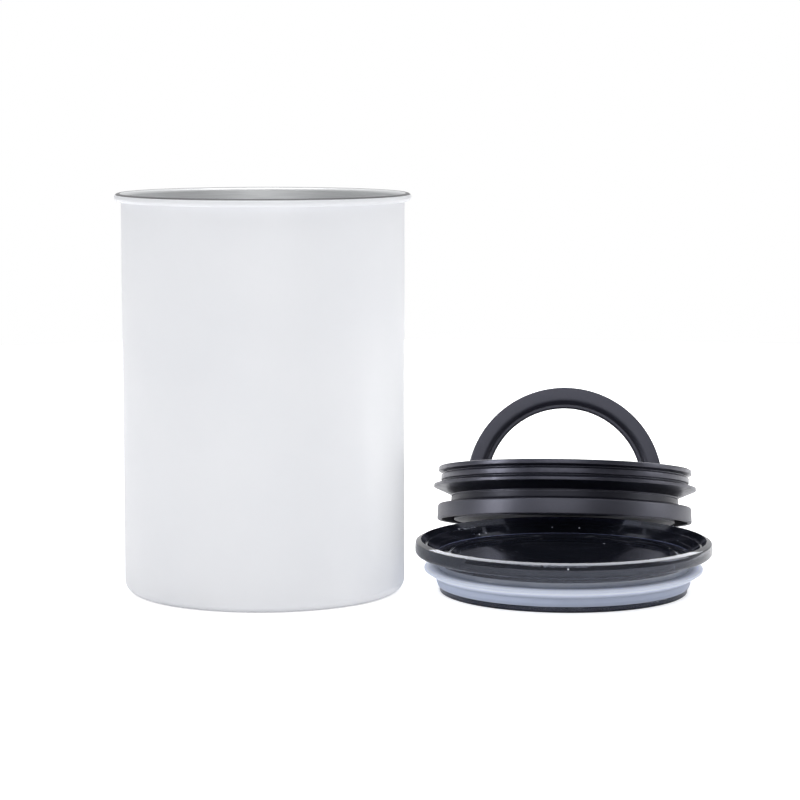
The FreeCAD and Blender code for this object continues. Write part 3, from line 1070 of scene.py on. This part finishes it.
# %% Handle frame
frame_split = -0.2
half_turn_steps = 128
handle_round = 0.9
hub_round = 0.4
standing = Matrix.Translation(at(0, 0, pivot_level)) @ Matrix.Rotation(math.pi / 2, 4, "X")
handle_back = turned("handle_back", rounded([
    (handle_bore, -handle_half, handle_round),
    (handle_radius, -handle_half, handle_round),
    (handle_radius, frame_split, crisp_round),
    (handle_bore, frame_split, handle_round),
]), steps=half_turn_steps, angle=math.pi)
hubs = [
    rod("hub", handle_half, at(side * handle_bore, 0, 0), at(side * handle_radius, 0, 0), hub_round)
    for side in (-1, 1)
]
combine(handle_back, merged(hubs), "UNION")
pocket_floor = at(0, valve_reach, stopper_depth - handle_half)
pocket_mouth = at(0, valve_reach, -handle_half - overrun)
pocket = rod("drill", stopper_radius + fit_gap, pocket_floor, pocket_mouth)
combine(handle_back, pocket, "DIFFERENCE")
put(handle_back, inner_lid_place @ standing)
dress(handle_back, "handle", "black_plastic", ["handle_frame"], black_plastic)

# %% [markdown]
# ## The handle's cover
# The front is a separate moulding pegged into the frame. It is set in from the frame's inner
# edge and rolls over deeply on that side, which leaves a dark band and a thin lip.

# %% Handle cover
cover_lip = 1.8
cover_inset = 0.2
cover_edge_round = 0.7
cover_roll = 2.8
cover_end = math.asin((handle_half + cover_inset) / valve_reach)
handle_front = turned("handle_front", rounded([
    (handle_bore + cover_lip, frame_split),
    (handle_radius - cover_inset, frame_split),
    (handle_radius - cover_inset, handle_half, cover_edge_round),
    (handle_bore + cover_lip, handle_half, cover_roll),
]), steps=half_turn_steps, angle=math.pi - 2 * cover_end)
put(handle_front, inner_lid_place @ standing @ Matrix.Rotation(cover_end, 4, "Z"))
dress(handle_front, "handle", "black_plastic", ["handle_cover"], black_plastic)

# %% [markdown]
# ## The pivot pins
# Two short steel pins are pressed into the hubs and turn in the ears.

# %% Pivot pins
pin_inset = 1.6
pin_round = 0.3
pin_start = handle_bore + pin_inset
pin_end = deck_radius - pin_round
pins = merged([
    rod("pivot_pin", pin_radius, at(side * pin_start, 0, 0), at(side * pin_end, 0, 0), pin_round)
    for side in (-1, 1)
])
put(pins, inner_lid_place @ Matrix.Translation(at(0, 0, pivot_level)))
dress(pins, "handle", "steel", ["pivot_pins"], bare_steel)

# %% [markdown]
# ## The table
# The picture's table is so evenly lit that it burns out to white, with only a trace of shadow
# round the pieces. So the floor is a pale matte disc under plain light that also glows a
# little for the camera. Further out it glows for mirrored and see-through rays too; close to
# the pieces it doesn't, so the black undersides stay dark.

# %% Floor
floor_radius = 1.1
floor_sides = 96
floor_middle = (0.07, 0.05, -0.05 * mm)
bpy.ops.object.select_all(action="DESELECT")
bpy.ops.mesh.primitive_circle_add(
    vertices=floor_sides, radius=floor_radius, fill_type="NGON", location=floor_middle)
floor = bpy.context.active_object
floor.name = "table"
bpy.ops.object.transform_apply(location=True, rotation=True, scale=True)
print("table", floor_radius, "m in radius")

# %% [markdown]
# The glow is worked out with a few Math nodes: one strength for what the camera sees, one
# for mirrored and see-through rays, and the larger of the two counts.

# %% Floor finish
near_rim = 0.22
far_rim = 0.7
near_glow = 0.55
far_glow = 0.95


def math_node(tree, operation, first, second):
    """The outcome of one Math node on two sockets."""
    node = tree.nodes.new("ShaderNodeMath")
    node.operation = operation
    tree.links.new(first, node.inputs[0])
    tree.links.new(second, node.inputs[1])
    return node.outputs["Value"]


table_white, tree, shader = fresh("table_white")
cloud_colour(tree, shader, scale=40, first=(0.82, 0.82, 0.83), second=(0.80, 0.80, 0.81))
shader.inputs["Roughness"].default_value = 0.9
shader.inputs["Specular IOR Level"].default_value = 0.0
shader.inputs["Emission Color"].default_value = (1, 1, 1, 1)
distance = tree.nodes.new("ShaderNodeVectorMath")
distance.operation = "LENGTH"
tree.links.new(object_place(tree), distance.inputs[0])
path = tree.nodes.new("ShaderNodeLightPath")
from_camera = spread(tree, distance.outputs["Value"], near_glow, far_glow, near_rim, far_rim)
from_camera = math_node(tree, "MULTIPLY", from_camera, path.outputs["Is Camera Ray"])
mirrored = math_node(tree, "MAXIMUM", path.outputs["Is Glossy Ray"], path.outputs["Is Transmission Ray"])
from_pieces = spread(tree, distance.outputs["Value"], 0, far_glow, near_rim, far_rim)
from_pieces = math_node(tree, "MULTIPLY", from_pieces, mirrored)
glow = math_node(tree, "MAXIMUM", from_camera, from_pieces)
tree.links.new(glow, shader.inputs["Emission Strength"])
floor.data.materials.append(table_white)
print("made", table_white.name)

# %% [markdown]
# ## The light
# A product picture on white has light from all round: a white wall behind, large soft boxes
# at the front, both sides, the back and above, and a darker room behind the camera, which
# gives black plastic its shape. The world stands for the wall and the room, and area lamps
# are the boxes.

# %% World
front_level = 0.3
back_level = 0.75
room = bpy.data.worlds.new("studio")
bpy.context.scene.world = room
room.use_nodes = True
tree = room.node_tree
direction = tree.nodes.new("ShaderNodeSeparateXYZ")
tree.links.new(tree.nodes.new("ShaderNodeTexCoord").outputs["Generated"], direction.inputs["Vector"])
walls = spread(tree, direction.outputs["Y"], front_level, back_level, start=-0.5, end=0.5)
path = tree.nodes.new("ShaderNodeLightPath")
level = math_node(tree, "MAXIMUM", walls, path.outputs["Is Camera Ray"])
tree.links.new(level, tree.nodes["Background"].inputs["Strength"])
tree.nodes["Background"].inputs["Color"].default_value = (1, 1, 1, 1)
print("world", room.name)

# %% [markdown]
# Each soft box is an area lamp, placed by its direction and distance from the middle of the
# group, so moving one is a matter of one angle. Its power is set from its size, so that its
# face has a given brightness, where 1 is as bright as white paper.

# %% Soft boxes
group_middle = Vector((0.06, 0.03, 0.06))


def soft_box(name, azimuth, elevation, distance, size, brightness):
    """A lamp whose azimuth is 0 on the camera's side and 90 on the right."""
    turn = math.radians(azimuth)
    rise = math.radians(elevation)
    way = Vector((math.sin(turn) * math.cos(rise), -math.cos(turn) * math.cos(rise), math.sin(rise)))
    bpy.ops.object.light_add(type="AREA", location=group_middle + way * distance)
    lamp = bpy.context.active_object
    lamp.name = name
    lamp.rotation_euler = way.to_track_quat("Z", "Y").to_euler()
    lamp.data.shape = "RECTANGLE"
    lamp.data.size = size[0]
    lamp.data.size_y = size[1]
    lamp.data.energy = brightness * math.pi * size[0] * size[1]
    print(name, "power", round(lamp.data.energy, 1), "W")
    return lamp


front_box = soft_box("front_box", -5, 26, distance=1.6, size=(1.3, 0.85), brightness=2.0)
left_box = soft_box("left_box", -71, 16, distance=1.4, size=(0.42, 0.7), brightness=9.0)
right_box = soft_box("right_box", 93, 18, distance=1.4, size=(0.6, 0.7), brightness=3.6)
soft_box("top_box", 0, 81, distance=1.4, size=(1.4, 0.7), brightness=3.0)
back_box = soft_box("back_box", 180, 42, distance=1.5, size=(2.2, 1.0), brightness=3.2)
can_fill = soft_box("can_fill", 0, 10, distance=1.6, size=(1.4, 1.0), brightness=1.35)
low_fill = soft_box("low_fill", 75, -19, distance=0.121, size=(0.06, 0.12), brightness=3.2)

# %% [markdown]
# In the picture the white can is evenly lit while the black lids have strong, narrow lights at
# their sides, and the can, which stands before the left one, doesn't block it. So the boxes
# that shape the lids leave the can out, the left one is let past it and leaves the glossy
# outer lid out too, and two fills are for the can alone: a wide one in front, and a low one
# at its right, for the light that the table throws up. A collection lists what a lamp is
# for, or isn't for.

# %% Light for the can and the lids


def listed(name, pieces, state):
    """A collection of pieces that a lamp includes or excludes."""
    collection = bpy.data.collections.new(name)
    for piece in pieces:
        collection.objects.link(piece)
    for entry in collection.collection_objects:
        entry.light_linking.link_state = state
    return collection


all_but_can = listed("all_but_can", [can], "EXCLUDE")
can_alone = listed("can_alone", [can], "INCLUDE")
for lamp in (front_box, right_box, back_box):
    lamp.light_linking.receiver_collection = all_but_can
left_box.light_linking.receiver_collection = listed("not_outer_lid", [can, outer_lid], "EXCLUDE")
left_box.light_linking.blocker_collection = all_but_can
for lamp in (can_fill, low_fill):
    lamp.light_linking.receiver_collection = can_alone
    lamp.light_linking.blocker_collection = can_alone
print("lamps", [lamp.name for lamp in bpy.data.lights])

# %% [markdown]
# ## Colours as they are
# The Standard view shows each colour at the brightness the lamps give it, with no film curve.

# %% View
bpy.context.scene.view_settings.view_transform = "Standard"
print("view", bpy.context.scene.view_settings.view_transform)
